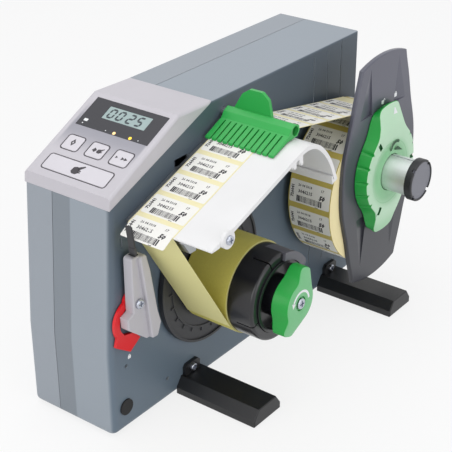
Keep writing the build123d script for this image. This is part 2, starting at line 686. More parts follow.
web_in = tangent_top(C1, CREST_R + WEB_LIFT, (ROLL_X, ROLL_Z), ROLL_R + RUN_GAP)
web_out = tangent_top(C1, CREST_R + WEB_LIFT + WEB_T, (ROLL_X, ROLL_Z), ROLL_R + RUN_GAP + WEB_T)
wi0 = plate_point(WEB_LIFT, "edge")
wo0 = plate_point(WEB_LIFT + WEB_T, "edge")
wi1 = plate_point(WEB_LIFT, "crest0")
wo1 = plate_point(WEB_LIFT + WEB_T, "crest0")
am = (90 + PLATE_SLOPE + web_in[2]) / 2
web_face = outline_face(MEDIA_FRONT_Y, [
    ("line", wi0, wi1),
    ("arc", wi1, polar(C1[0], C1[1], CREST_R + WEB_LIFT, am), web_in[0]),
    ("line", web_in[0], web_in[1]),
    ("line", web_in[1], web_out[1]),
    ("line", web_out[1], web_out[0]),
    ("arc", web_out[0], polar(C1[0], C1[1], CREST_R + WEB_LIFT + WEB_T, am), wo1),
    ("line", wo1, wo0),
    ("line", wo0, wi0),
])
label_web = extrude(web_face, amount=MEDIA_W, dir=(0, 1, 0))
parts["label_web"] = label_web

# Backing paper folded round the dispensing edge and led to the rewinder
FOLD_GAP = 0.25
fold_in = (PLATE_EDGE_X - FOLD_GAP * sin(SL) - 0.35, PLATE_EDGE_Z - 0.2)


def tangent_low(p, c, r):
    """Lower-left touch point of the line from p to a circle."""
    d = hypot(c[0] - p[0], c[1] - p[1])
    a = atan2(c[1] - p[1], c[0] - p[0]) - asin(r / d)
    l = (d * d - r * r) ** 0.5
    return (p[0] + l * cos(a), p[1] + l * sin(a)), degrees(a)


lin_a, lin_dir = tangent_low(fold_in, (REW_X, REW_Z), LINER_WOUND_R + RUN_GAP)
nx, nz = sin(radians(lin_dir)) * WEB_T, -cos(radians(lin_dir)) * WEB_T
liner_pts = [fold_in, lin_a, (lin_a[0] + nx, lin_a[1] + nz), (fold_in[0] + nx, fold_in[1] + nz)]
return_liner = slab(liner_pts, MEDIA_FRONT_Y, MEDIA_BACK_Y)
parts["return_liner"] = return_liner


def on_slope(s0, s1, d0, d1, y0, y1):
    """Thin plate on the sloping web between two distances from the dispensing edge."""
    def at(s, d):
        return (PLATE_EDGE_X + s * cos(SL) - d * sin(SL), PLATE_EDGE_Z + s * sin(SL) + d * cos(SL))
    return slab([at(s0, d0), at(s1, d0), at(s1, d1), at(s0, d1)], y0, y1)


LABEL_D = WEB_LIFT + WEB_T
LABEL_Y0 = MEDIA_FRONT_Y
LABEL_Y1 = MEDIA_BACK_Y - LABEL_MARGIN
first0 = -LABEL_FIRST_OUT
DROOP = radians(PLATE_SLOPE + LABEL_DROOP)


def label_path(s0, d):
    """Point on the first label: on the web for s0 >= 0, hanging off the dispensing edge below that."""
    base = min(s0, 0.0)
    on = max(s0, 0.0)
    tilt = DROOP if s0 < 0 else SL
    return (PLATE_EDGE_X + on * cos(SL) + base * cos(DROOP) - d * sin(tilt),
            PLATE_EDGE_Z + on * sin(SL) + base * sin(DROOP) + d * cos(tilt))


stations = [first0 + LABEL_LEN, 0.0, -0.01, first0]
low_side = [label_path(k, LABEL_D) for k in stations]
high_side = [label_path(k, LABEL_D + LABEL_T) for k in stations]
parts["dispensed_label"] = slab(low_side + high_side[::-1], LABEL_Y0, LABEL_Y1)
labels = []
for i in range(1, LABEL_COUNT):
    s0 = first0 + i * LABEL_PITCH
    labels.append(on_slope(s0, s0 + LABEL_LEN, LABEL_D, LABEL_D + LABEL_T, LABEL_Y0 + LABEL_EDGE, LABEL_Y1))
# Labels on the free span towards the roll
sx, sz = web_out[0]
ux, uz = web_out[1][0] - sx, web_out[1][1] - sz
span = hypot(ux, uz)
ux, uz = ux / span, uz / span
for i in range(SPAN_LABELS):
    s0 = 4.0 + i * LABEL_PITCH
    a = (sx + ux * s0, sz + uz * s0)
    b = (sx + ux * (s0 + LABEL_LEN), sz + uz * (s0 + LABEL_LEN))
    t = LABEL_T
    pts = [a, b, (b[0] - uz * t, b[1] + ux * t), (a[0] - uz * t, a[1] + ux * t)]
    labels.append(slab(pts, LABEL_Y0 + LABEL_EDGE, LABEL_Y1))
parts["web_labels"] = Compound(children=labels)

parts["label_roll"] = ring(ROLL_X, ROLL_Z, ROLL_R, CORE_BORE_R + CORE_T, MEDIA_FRONT_Y, MEDIA_BACK_Y)
parts["roll_core"] = ring(ROLL_X, ROLL_Z, CORE_BORE_R + CORE_T, CORE_BORE_R, MEDIA_FRONT_Y, MEDIA_BACK_Y)

# Unwinder
KEYWAY_W = 2.4
KEYWAY_D = 1.6
shaft = rod(SHAFT_X, SHAFT_Z, SHAFT_R, SHAFT_END_Y, CHASSIS_Y)
shaft += rod(SHAFT_X, SHAFT_Z, SHAFT_FOOT_R, CHASSIS_Y - SHAFT_FOOT_T, CHASSIS_Y)
shaft -= rod(SHAFT_X, SHAFT_Z, SHAFT_R - 4, SHAFT_END_Y - 1, CHASSIS_Y - SHAFT_FOOT_T - 2)
shaft -= block(SHAFT_X - KEYWAY_W / 2, SHAFT_X + KEYWAY_W / 2, SHAFT_END_Y - 1, MEDIA_BACK_Y - HUB_DISC_T,
               SHAFT_Z + SHAFT_R - KEYWAY_D, SHAFT_Z + SHAFT_R + 1)
parts["unwinder_shaft"] = shaft
cap = rod(SHAFT_X, SHAFT_Z, CAP_R, SHAFT_END_Y - CAP_T, SHAFT_END_Y)
cap = fillet(cap.edges().group_by(Axis.Y)[0], 1.2)
cap -= rod(SHAFT_X, SHAFT_Z, CAP_R - 2.4, SHAFT_END_Y - CAP_T - 1, SHAFT_END_Y - CAP_T + 0.8)
for i in range(4):
    gx, gz = polar(SHAFT_X, SHAFT_Z, CAP_R - 1.8, 45 + 90 * i)
    cap -= rod(gx, gz, 2.4, SHAFT_END_Y - CAP_T - 1, SHAFT_END_Y - CAP_T + 3)
cap += rod(SHAFT_X, SHAFT_Z, SHAFT_R - 4 - FIT_GAP, SHAFT_END_Y - 0.2, SHAFT_END_Y + 14)
parts["shaft_cap"] = cap
hub_disc = ring(SHAFT_X, SHAFT_Z, HUB_DISC_R, SHAFT_R + FIT_GAP, MEDIA_BACK_Y + RUN_GAP, 0)
hub_disc = fillet(hub_disc.edges().group_by(Axis.Y)[0].sort_by(lambda e: e.length)[-1], 1.5)
parts["hub_disc"] = hub_disc

# Outer flange: a long disc with chopped sides
FLANGE_Y = MEDIA_FRONT_Y - RUN_GAP
FLANGE_FRONT_Y = FLANGE_Y - FLANGE_T
half = [(FLANGE_HALF_W, 0), (FLANGE_HALF_W * 0.965, 30), (FLANGE_NECK_W * 1.16, 62), (FLANGE_NECK_W, 92),
        (FLANGE_END_W * 1.05, 118), (FLANGE_END_W, FLANGE_R + 8)]
side = [(x, z) for x, z in half[::-1]] + [(x, -z) for x, z in half[1:]]
with BuildSketch(Plane.XZ.offset(-FLANGE_FRONT_Y)) as s:
    with BuildLine():
        rl = Spline(*[(SHAFT_X + x, SHAFT_Z + z) for x, z in side])
        ll = Spline(*[(SHAFT_X - x, SHAFT_Z + z) for x, z in side])
        Line(rl @ 0, ll @ 0)
        Line(rl @ 1, ll @ 1)
    make_face()
blade = extrude(s.sketch, amount=FLANGE_T, dir=(0, 1, 0))
blade = blade & rod(SHAFT_X, SHAFT_Z, FLANGE_R, FLANGE_FRONT_Y - 1, FLANGE_Y + 1)
blade = fillet(rim_edges(blade, FLANGE_FRONT_Y, lambda c: True), 1.5)
# Tapering creases towards each end, deepest beside the knob, with one steep wall
CREASE_D = 3.2
CREASES = [(1, -20.5, -44.0, 66.0, -27.0, 117.0), (-1, -22.0, -42.0, 44.0, -30.0, 104.0)]
for up, wall_x, slope_x, root_z, tip_x, tip_z in CREASES:
    for side_x in (1, -1):
        root = [(side_x * slope_x, -0.01), (side_x * wall_x, -0.01), (side_x * wall_x, CREASE_D)]
        root = [(SHAFT_X + x, FLANGE_FRONT_Y + y, SHAFT_Z + up * root_z) for x, y in root]
        tip = (SHAFT_X + side_x * tip_x, FLANGE_FRONT_Y - 0.01, SHAFT_Z + up * tip_z)
        faces = [Face(Wire.make_polygon(root))]
        for i in range(3):
            faces.append(Face(Wire.make_polygon([root[i], root[(i + 1) % 3], tip])))
        blade -= Solid(Shell(faces))
FLANGE_HUB_Y = FLANGE_FRONT_Y - RUN_GAP - LOCK_T + LOCK_RECESS
blade += rod(SHAFT_X, SHAFT_Z, FLANGE_HUB_R, FLANGE_HUB_Y, FLANGE_Y)
# Snap groove that holds the lock knob
SNAP_Y0 = FLANGE_FRONT_Y - 4.5
SNAP_Y1 = FLANGE_FRONT_Y - 2.7
SNAP_D = 0.7
blade -= ring(SHAFT_X, SHAFT_Z, FLANGE_HUB_R + 1, FLANGE_HUB_R - SNAP_D, SNAP_Y0, SNAP_Y1)
blade -= rod(SHAFT_X, SHAFT_Z, SHAFT_R + SLIDE_GAP, FLANGE_HUB_Y - 1, FLANGE_Y + 1)
KEY_FIT = 0.2
blade += block(SHAFT_X - KEYWAY_W / 2 + KEY_FIT, SHAFT_X + KEYWAY_W / 2 - KEY_FIT, FLANGE_HUB_Y, FLANGE_Y,
               SHAFT_Z + SHAFT_R - KEYWAY_D + KEY_FIT, SHAFT_Z + SHAFT_R + 1)
parts["outer_flange"] = blade


def abs_turn(v, cx, cz, tilt):
    """Distance of a sketch vertex from the knob's short axis."""
    x, z = v.X - cx, v.Y - cz
    return abs(z * cos(radians(tilt)) - x * sin(radians(tilt)))


def near_side(v, cx, cz, half_w, mid, tilt):
    return hypot(v.X - cx, v.Y - cz) < half_w * 1.01 and abs_turn(v, cx, cz, tilt) < mid * 1.2


def wing_face(cx, cz, half_l, half_w, end_w, tilt, y, r_end, r_side, r_waist):
    """Two-winged knob outline: chopped ends, soft corners."""
    mid = half_w * 0.22
    waist_x = end_w + (half_w - end_w) * 0.42
    waist_z = mid + (half_l - mid) * 0.52
    q = [(end_w, half_l), (waist_x, waist_z), (half_w, mid)]
    pts = q + [(x, -z) for x, z in q[::-1]] + [(-x, -z) for x, z in q] + [(-x, z) for x, z in q[::-1]]
    with BuildSketch(Plane.XZ.offset(-y)) as s:
        with BuildLine():
            Polyline(*turn(pts, cx, cz, tilt), close=True)
        make_face()
        far = half_w * 1.08
        fillet([v for v in s.vertices() if hypot(v.X - cx, v.Y - cz) > far], r_end)
        fillet([v for v in s.vertices() if near_side(v, cx, cz, half_w, mid, tilt)], r_side)
        if r_waist:
            waist = hypot(waist_x, waist_z)
            fillet([v for v in s.vertices() if abs(hypot(v.X - cx, v.Y - cz) - waist) < 0.05], r_waist)
    return s.sketch


# Green lock knob on the flange's hub
LOCK_Y = FLANGE_FRONT_Y - RUN_GAP
LOCK_DRAFT = 18.0
lock_face = wing_face(SHAFT_X, SHAFT_Z + LOCK_RISE, LOCK_HALF_L, LOCK_HALF_W, LOCK_END_W, 0, LOCK_Y, 5.0, 8.0, 0)
lock = extrude(lock_face, amount=LOCK_T, taper=LOCK_DRAFT)
LOCK_FRONT_Y = LOCK_Y - LOCK_T
lock -= rod(SHAFT_X, SHAFT_Z, FLANGE_HUB_R + BEARING_GAP, LOCK_FRONT_Y - 1, LOCK_Y + 1)
lock += ring(SHAFT_X, SHAFT_Z, FLANGE_HUB_R + 1, FLANGE_HUB_R - SNAP_D + BEARING_GAP, SNAP_Y0 + RUN_GAP, SNAP_Y1 - RUN_GAP)
# Notches in the front face and scallops on the two sides
for a in (40, 140, 220, 320):
    nx_, nz_ = polar(SHAFT_X, SHAFT_Z, 40, a)
    lock -= Pos(nx_, LOCK_FRONT_Y, nz_) * Rot(0, -a, 0) * Box(7, 6, 3)
SCALLOP_COUNT = 5
SCALLOP_R = 3.0
for middle in (0, 180):
    for i in range(SCALLOP_COUNT):
        a = middle + (i - (SCALLOP_COUNT - 1) / 2) * 8.5
        gx, gz = polar(SHAFT_X, SHAFT_Z + LOCK_RISE, LOCK_HALF_W - 0.8, a)
        lock -= rod(gx, gz, SCALLOP_R, LOCK_FRONT_Y - 1, LOCK_Y - 3)
parts["lock_knob"] = lock

# Rewinder
DISC_FRONT_Y = DISC_BACK_Y - DISC_T
disc = rod(REW_X, REW_Z, DISC_R, DISC_FRONT_Y, DISC_BACK_Y)
disc += ring(REW_X, REW_Z, DISC_R, DISC_R - 2.5, DISC_FRONT_Y - DISC_RIM, DISC_FRONT_Y)
disc += ring(REW_X, REW_Z, DISC_R - 14.7, DISC_R - 16.7, DISC_FRONT_Y - 1.0, DISC_FRONT_Y)
DISC_RIBS = 24
for i in range(DISC_RIBS):
    a = i * 360 / DISC_RIBS
    rx, rz = polar(REW_X, REW_Z, DISC_R - 13.2, a)
    disc += Pos(rx, DISC_FRONT_Y - 0.4, rz) * Rot(0, -a, 0) * Box(5, 1.2, 1.6)
disc -= rod(REW_X, REW_Z, SPINDLE_R + SEAT_GAP, DISC_FRONT_Y - 10, 1)
parts["rewinder_disc"] = disc

SPINDLE_END_Y = -100.0
SPINDLE_REAR_Y = HUB_Y0 + HUB_LEN - 1
spindle = rod(REW_X, REW_Z, SPINDLE_R, SPINDLE_END_Y, SPINDLE_REAR_Y)
spindle -= rod(REW_X, REW_Z, KNOB_SCREW_R, SPINDLE_END_Y - 1, SPINDLE_END_Y + 14)
parts["rewinder_spindle"] = spindle

DRUM_BACK_Y = MEDIA_FRONT_Y - 0.5
DRUM_FRONT_Y = DRUM_BACK_Y - DRUM_W
DRUM_RECESS = 8.0
KNOB_BACK_Y = DRUM_FRONT_Y - 6.5
drum = rod(REW_X, REW_Z, DRUM_R, DRUM_FRONT_Y, DRUM_BACK_Y)
drum = fillet(drum.edges().group_by(Axis.Y)[0], 3.0)
drum += rod(REW_X, REW_Z, REW_CORE_R, DRUM_BACK_Y - 0.2, DISC_FRONT_Y)
drum -= rod(REW_X, REW_Z, DRUM_RIM_R, DRUM_FRONT_Y - 1, DRUM_FRONT_Y + DRUM_RECESS)
drum += rod(REW_X, REW_Z, DRUM_HUB_R, KNOB_BACK_Y + RUN_GAP, DRUM_FRONT_Y + DRUM_RECESS + 0.2)
drum -= rod(REW_X, REW_Z, SPINDLE_R + SEAT_GAP, KNOB_BACK_Y - 1, 1)
# Pocket of the clamp segment and slits of the rim
CLAMP_A0, CLAMP_A1 = 29.0, 85.0


def sector(cx, cz, r_in, r_out, a0, a1, y0, y1):
    am_ = (a0 + a1) / 2
    f = outline_face(y0, [
        ("line", polar(cx, cz, r_in, a0), polar(cx, cz, r_out, a0)),
        ("arc", polar(cx, cz, r_out, a0), polar(cx, cz, r_out, am_), polar(cx, cz, r_out, a1)),
        ("line", polar(cx, cz, r_out, a1), polar(cx, cz, r_in, a1)),
        ("arc", polar(cx, cz, r_in, a1), polar(cx, cz, r_in, am_), polar(cx, cz, r_in, a0)),
    ])
    return extrude(f, amount=y1 - y0, dir=(0, 1, 0))


CLAMP_PLAY = 0.6
CLAMP_DEPTH = 20.0
drum -= sector(REW_X, REW_Z, DRUM_RIM_R - 1, DRUM_R + 2, CLAMP_A0 - CLAMP_PLAY, CLAMP_A1 + CLAMP_PLAY,
               DRUM_FRONT_Y - 1, DRUM_FRONT_Y + CLAMP_DEPTH + FIT_GAP)
drum -= ring(REW_X, REW_Z, REW_CORE_R - 2.0, DRUM_HUB_R + 4, DRUM_BACK_Y + 3, DISC_FRONT_Y + 1)
for a in (112, 200, 290):
    gx, gz = polar(REW_X, REW_Z, (DRUM_R + DRUM_RIM_R) / 2, a)
    drum -= Pos(gx, DRUM_FRONT_Y + 9, gz) * Rot(0, -a, 0) * Box(12, 20, 1.4)
parts["rewinder_drum"] = drum
parts["clamp_segment"] = sector(REW_X, REW_Z, DRUM_RIM_R, DRUM_R - 0.3, CLAMP_A0, CLAMP_A1,
                                DRUM_FRONT_Y - 3.0, DRUM_FRONT_Y + CLAMP_DEPTH)
parts["clamp_ring"] = ring(REW_X, REW_Z, DRUM_RIM_R - 0.4, DRUM_RIM_R - 3.4,
                           DRUM_FRONT_Y - 1.5, DRUM_FRONT_Y + DRUM_RECESS)
parts["wound_liner"] = ring(REW_X, REW_Z, LINER_WOUND_R, REW_CORE_R, MEDIA_FRONT_Y, MEDIA_BACK_Y)

# Rewinder knob and its screw
KNOB_FRONT_Y = KNOB_BACK_Y - REW_KNOB_T
knob_face = wing_face(REW_X, REW_Z, REW_KNOB_HALF_L, REW_KNOB_HALF_W, REW_KNOB_END_W, REW_KNOB_TILT,
                      KNOB_BACK_Y, 6.0, 9.0, 12.0)
knob = extrude(knob_face, amount=REW_KNOB_T, taper=14)
knob = fillet(rim_edges(knob, KNOB_FRONT_Y, lambda c: True), 1.2)
knob -= rod(REW_X, REW_Z, SPINDLE_R + BEARING_GAP, SPINDLE_END_Y - 1, KNOB_BACK_Y + 1)
knob -= rod(REW_X, REW_Z, KNOB_SCREW_R + FIT_GAP, KNOB_FRONT_Y - 1, KNOB_BACK_Y)
knob -= rod(REW_X, REW_Z, 6.4, KNOB_FRONT_Y - 1, KNOB_FRONT_Y + 2.0)
knob += ring(REW_X, REW_Z, 9.0, 7.4, KNOB_FRONT_Y - 0.6, KNOB_FRONT_Y + 0.2)
parts["rewinder_knob"] = knob
parts["knob_screw"] = cross_screw(REW_X, REW_Z, KNOB_FRONT_Y + 2.0 - RUN_GAP, 5.4, 3.0, KNOB_SCREW_R - 0.05,
                                  SPINDLE_END_Y + 12 - KNOB_FRONT_Y - 2)

# Hold-down comb
COMB_LIFT = LABEL_D + LABEL_T + RUN_GAP
COMB_FRONT_Y = COMB_BACK_Y - COMB_W


def slope_pt(s, d):
    return (PLATE_EDGE_X + s * cos(SL) - d * sin(SL), PLATE_EDGE_Z + s * sin(SL) + d * cos(SL))


tip_s = (COMB_TIP_X - PLATE_EDGE_X) / cos(SL)
finger_pts = [(0, COMB_LIFT), (37, COMB_LIFT + 0.4), (36, 6.5), (27, 5.0), (1, 2.8)]
comb = slab([slope_pt(tip_s + a, d) for a, d in finger_pts], COMB_FRONT_Y, COMB_BACK_Y)
pitch = COMB_W / COMB_FINGERS
for i in range(1, COMB_FINGERS):
    y = COMB_FRONT_Y + i * pitch
    a = slope_pt(tip_s - 2, -2)
    b = slope_pt(tip_s + 25, -2)
    c = slope_pt(tip_s + 25, 9)
    d = slope_pt(tip_s - 2, 9)
    comb -= slab([a, b, c, d], y - COMB_SLOT / 2, y + COMB_SLOT / 2)
hump = [(-13.0, -6.6), (-11.0, -3.4), (-6.0, 3.6), (0, 6.5), (5.6, 4.0), (6.6, -1.0), (3.4, -5.6), (-3.0, -6.2)]
hump_pts = [(COMB_X + x, COMB_Z + z) for x, z in hump]
with BuildSketch(Plane.XZ.offset(-COMB_FRONT_Y)) as s:
    with BuildLine():
        Polyline(*hump_pts, close=True)
    make_face()
    fillet([v for v in s.vertices() if v.Y > COMB_Z], 2.0)
comb += extrude(s.sketch, amount=COMB_W, dir=(0, 1, 0))
TAB_T = 3.6
tab_pts = [
    (0, 1),
    (-2, 6),
    (-11, COMB_TAB_H - 5.5),
    (-19, COMB_TAB_H),
    (-COMB_TAB_W + 11, COMB_TAB_H),
    (-COMB_TAB_W + 4, COMB_TAB_H - 6),
    (-COMB_TAB_W + 1, 7),
    (-COMB_TAB_W, 1),
]
with BuildSketch(Plane.YZ.offset(COMB_X + 1.4)) as s:
    with BuildLine():
        Polyline(*[(COMB_TAB_BACK_Y + y, COMB_Z + z) for y, z in tab_pts], close=True)
    make_face()
    fillet([v for v in s.vertices() if v.Y > COMB_Z + 5], 3.0)
tab = extrude(s.sketch, amount=TAB_T, dir=(1, 0, 0))
comb += tab
comb -= rod(COMB_X, COMB_Z, COMB_PIN_R + 0.08, COMB_FRONT_Y - 1, COMB_BACK_Y + 1)
comb -= rod(COMB_X, COMB_Z, COMB_PIN_R + 1.6, COMB_FRONT_Y - 1, COMB_FRONT_Y + 6)
parts["holddown_comb"] = comb
pin = rod(COMB_X, COMB_Z, COMB_PIN_R, COMB_FRONT_Y + 4, WALL + 0.2)
pin += rod(COMB_X, COMB_Z, COMB_PIN_R + 3, WALL, WALL + 3)
pin += rod(COMB_X, COMB_Z, COMB_PIN_R + 2, COMB_BACK_Y + RUN_GAP, 0)
parts["holddown_pin"] = pin
parts["front_casing"] -= rod(COMB_X, COMB_Z, COMB_PIN_R + 0.02, -1, WALL + 1)

# Sensor arm and red lever
ARM_FRONT_Y = ARM_BACK_Y - ARM_T
arm_pts = [(-7, 47), (8, 47), (13, 29), (21, -16), (25, -29), (20, -42), (9, -41), (-14, -22), (-15, -11), (-7, -8)]
rib_pts = [(0, 47), (8, 47), (13, 29), (21, -16), (25, -29), (20, -42), (12, -41.4), (9.5, -19)]


def arm_plate(pts, y0, y1, soft_top, soft_low):
    """Plate of the sensor arm from points about its pivot, with its outer corners rounded."""
    with BuildSketch(Plane.XZ.offset(-y0)) as s:
        with BuildLine():
            Polyline(*[(ARM_X + x, ARM_Z + z) for x, z in pts], close=True)
        make_face()
        fillet([v for v in s.vertices() if v.Y < ARM_Z + soft_low or v.Y > ARM_Z + soft_top], 3.0)
    return extrude(s.sketch, amount=y1 - y0, dir=(0, 1, 0))


arm = arm_plate(arm_pts, ARM_FRONT_Y, ARM_BACK_Y, 41, -14)
arm = fillet(rim_edges(arm, ARM_FRONT_Y, lambda c: True), 1.2)
rib = arm_plate(rib_pts, ARM_FRONT_Y - ARM_RIB_T, ARM_FRONT_Y + 2, 41, -24)
rib = fillet(rim_edges(rib, ARM_FRONT_Y - ARM_RIB_T, lambda c: True), 1.6)
arm += rib
arm -= rod(ARM_X, ARM_Z, ARM_PIN_R + BEARING_GAP + 0.03, ARM_FRONT_Y - ARM_RIB_T - 1, 1)

# Black feeler: a boot in the arm's top, a leg that leans out and an upright blade before the label
FEELER_T = 1.8
FEELER_W = 6.4
BOOT_X, BOOT_Y, BOOT_Z = ARM_X + 0.3, -9.6, ARM_Z + 47.0
BOOT_DEPTH = 8.0
KNEE = (PLATE_EDGE_X - 13.6, -24.0, PLATE_EDGE_Z - 13.7)
BLADE_TIP = (PLATE_EDGE_X - 16.9, -24.0, PLATE_EDGE_Z + 7.6)


def leaning(start, end, t, w):
    """Bar of level section t by w between two centres."""
    with BuildSketch(Plane.XY.offset(start[2])) as s:
        with Locations((start[0], start[1])):
            Rectangle(t, w)
    run = [end[i] - start[i] for i in range(3)]
    length = hypot(hypot(run[0], run[1]), run[2])
    return extrude(s.sketch, amount=length, dir=tuple(v / length for v in run))


boot_top = (BOOT_X, BOOT_Y, BOOT_Z + 0.8)
feeler = leaning((BOOT_X, BOOT_Y, BOOT_Z + 0.3), KNEE, FEELER_T * 1.5, FEELER_W)
feeler = feeler - block(KNEE[0] - 20, KNEE[0] + 40, -60, 0, KNEE[2], KNEE[2] + 40)
feeler += leaning(KNEE, BLADE_TIP, FEELER_T, FEELER_W)
feeler += block(BOOT_X - 2.6, BOOT_X + 2.6, BOOT_Y - 3.4, BOOT_Y + 3.4, BOOT_Z - BOOT_DEPTH, boot_top[2])
arm -= block(BOOT_X - 2.6 - SEAT_GAP, BOOT_X + 2.6 + SEAT_GAP, BOOT_Y - 3.4 - SEAT_GAP, BOOT_Y + 3.4 + SEAT_GAP,
             BOOT_Z - BOOT_DEPTH, BOOT_Z + 1)
parts["sensor_arm"] = arm
parts["sensor_feeler"] = feeler
parts["arm_screw"] = cross_screw(ARM_X, ARM_Z, ARM_FRONT_Y - RUN_GAP, 4.6, 2.6, 1.5, ARM_T)
parts["front_casing"] -= rod(ARM_X, ARM_Z, 1.55, ARM_FRONT_Y - 1, ARM_BACK_Y + 3)

LEVER_Y0 = ARM_BACK_Y + RUN_GAP + 0.1
LEVER_Y1 = LEVER_Y0 + LEVER_T
LEVER_C = (ARM_X, ARM_Z - 20.5)
lever = sector(LEVER_C[0], LEVER_C[1], 15.0, 22.0, 80, 215, LEVER_Y0, LEVER_Y1)
lever += rod(ARM_X, ARM_Z, 8.0, LEVER_Y0, LEVER_Y1)
lever_tab = [(-18.8, -31.5), (-13.5, -27.0), (-9.5, -32.5), (3.0, -35.0), (11.0, -44.0), (-3.0, -53.0), (-21.5, -40.0)]
lever += slab([(ARM_X + x, ARM_Z + z) for x, z in lever_tab], LEVER_Y0, LEVER_Y1)
lever -= rod(ARM_X, ARM_Z, ARM_PIN_R + 0.08, LEVER_Y0 - 1, LEVER_Y1 + 1)
parts["lock_lever"] = lever

# Feet
foot_screws = []
for name, fx in zip(("foot_near", "foot_far"), FOOT_X):
    b, t = FOOT_BASE_W / 2, FOOT_TOP_W / 2
    sec = [(fx - b, PAD_H), (fx + b, PAD_H), (fx + b, FOOT_SHOULDER_Z), (fx + t, FOOT_H), (fx - t, FOOT_H),
           (fx - b, FOOT_SHOULDER_Z)]
    bar = slab(sec, -FOOT_REACH, 0)
    bar = fillet(rim_edges(bar, -FOOT_REACH, lambda c: True), 1.2)
    w = FOOT_TAB_W / 2
    tab = slab([(fx - w, FOOT_H - 2), (fx + w, FOOT_H - 2), (fx + w, FOOT_TAB_Z - 3), (fx + w - 3, FOOT_TAB_Z),
                (fx - w + 3, FOOT_TAB_Z), (fx - w, FOOT_TAB_Z - 3)], -4.0, 0)
    bar += tab
    bar -= rod(fx, FOOT_SCREW_Z, SCREW_R + 0.2, -5, 1)
    parts[name] = bar
    foot_screws.append(cross_screw(fx, FOOT_SCREW_Z, -4.0, 4.0, 2.4, SCREW_R, 12.0))
parts["foot_screws"] = Compound(children=foot_screws)

# Drive
mw = MOTOR_W / 2
ch = 5.0
motor = slab([(MOTOR_X - mw + ch, MOTOR_Z - mw), (MOTOR_X + mw - ch, MOTOR_Z - mw), (MOTOR_X + mw, MOTOR_Z - mw + ch),
              (MOTOR_X + mw, MOTOR_Z + mw - ch), (MOTOR_X + mw - ch, MOTOR_Z + mw), (MOTOR_X - mw + ch, MOTOR_Z + mw),
              (MOTOR_X - mw, MOTOR_Z + mw - ch), (MOTOR_X - mw, MOTOR_Z - mw + ch)], HUB_Y0, HUB_Y0 + MOTOR_L)
motor += rod(MOTOR_X, MOTOR_Z, MOTOR_SPIGOT_R, CHASSIS_Y + 1, HUB_Y0 + 0.2)
motor -= rod(MOTOR_X, MOTOR_Z, MOTOR_SHAFT_R + BEARING_GAP, CHASSIS_Y, HUB_Y0 + 12)
parts["stepper_motor"] = motor
PULLEY_Y0 = WALL + 1.8
PULLEY_Y1 = PULLEY_Y0 + PULLEY_T
pulley = rod(MOTOR_X, MOTOR_Z, MOTOR_PULLEY_R, PULLEY_Y0, PULLEY_Y1)
for y in (PULLEY_Y0 - 0.8, PULLEY_Y1):
    pulley += rod(MOTOR_X, MOTOR_Z, MOTOR_PULLEY_R + BELT_T + PULLEY_FLANGE, y, y + 0.8)
pulley += rod(MOTOR_X, MOTOR_Z, MOTOR_SHAFT_R, PULLEY_Y1, HUB_Y0 + 10)
pulley -= block(MOTOR_X - 1.2, MOTOR_X + 1.2, PULLEY_Y0 - 2, PULLEY_Y0 + 0.4, MOTOR_Z - 4, MOTOR_Z + 4)
parts["motor_pulley"] = pulley
big = rod(REW_X, REW_Z, REW_PULLEY_R, PULLEY_Y0, PULLEY_Y1)
for y in (PULLEY_Y0 - 0.8, PULLEY_Y1):
    big += rod(REW_X, REW_Z, REW_PULLEY_R + BELT_T + PULLEY_FLANGE, y, y + 0.8)
for i in range(6):
    gx, gz = polar(REW_X, REW_Z, 20.0, 60 * i)
    big -= rod(gx, gz, 6.0, PULLEY_Y0 - 2, PULLEY_Y1 + 2)
big -= rod(REW_X, REW_Z, SPINDLE_R + 0.02, PULLEY_Y0 - 2, PULLEY_Y1 + 2)
parts["rewinder_pulley"] = big


def belt_face(y, g):
    """Area within a belt line that lies g outside both pulleys."""
    d = hypot(MOTOR_X - REW_X, MOTOR_Z - REW_Z)
    th = atan2(MOTOR_Z - REW_Z, MOTOR_X - REW_X)
    r1, r2 = REW_PULLEY_R + g, MOTOR_PULLEY_R + g
    k = asin((r1 - r2) / d)
    up, dn = degrees(th + pi / 2 - k), degrees(th - pi / 2 + k)
    mid1 = degrees(th) + 180
    mid2 = degrees(th)
    return outline_face(y, [
        ("line", polar(REW_X, REW_Z, r1, up), polar(MOTOR_X, MOTOR_Z, r2, up)),
        ("arc", polar(MOTOR_X, MOTOR_Z, r2, up), polar(MOTOR_X, MOTOR_Z, r2, mid2), polar(MOTOR_X, MOTOR_Z, r2, dn)),
        ("line", polar(MOTOR_X, MOTOR_Z, r2, dn), polar(REW_X, REW_Z, r1, dn)),
        ("arc", polar(REW_X, REW_Z, r1, dn), polar(REW_X, REW_Z, r1, mid1), polar(REW_X, REW_Z, r1, up)),
    ])


BELT_GAP = 0.05
belt = extrude(belt_face(PULLEY_Y0 + 0.3, BELT_T), amount=PULLEY_T - 0.6, dir=(0, 1, 0))
belt -= extrude(belt_face(PULLEY_Y0 - 1, BELT_GAP), amount=PULLEY_T + 2, dir=(0, 1, 0))
parts["drive_belt"] = belt
bearing_y = [CHASSIS_Y, HUB_Y0 + HUB_LEN - BEARING_W]
parts["bearings"] = Compound(children=[ring(REW_X, REW_Z, BEARING_R, SPINDLE_R + BEARING_GAP, y, y + BEARING_W) for y in bearing_y])

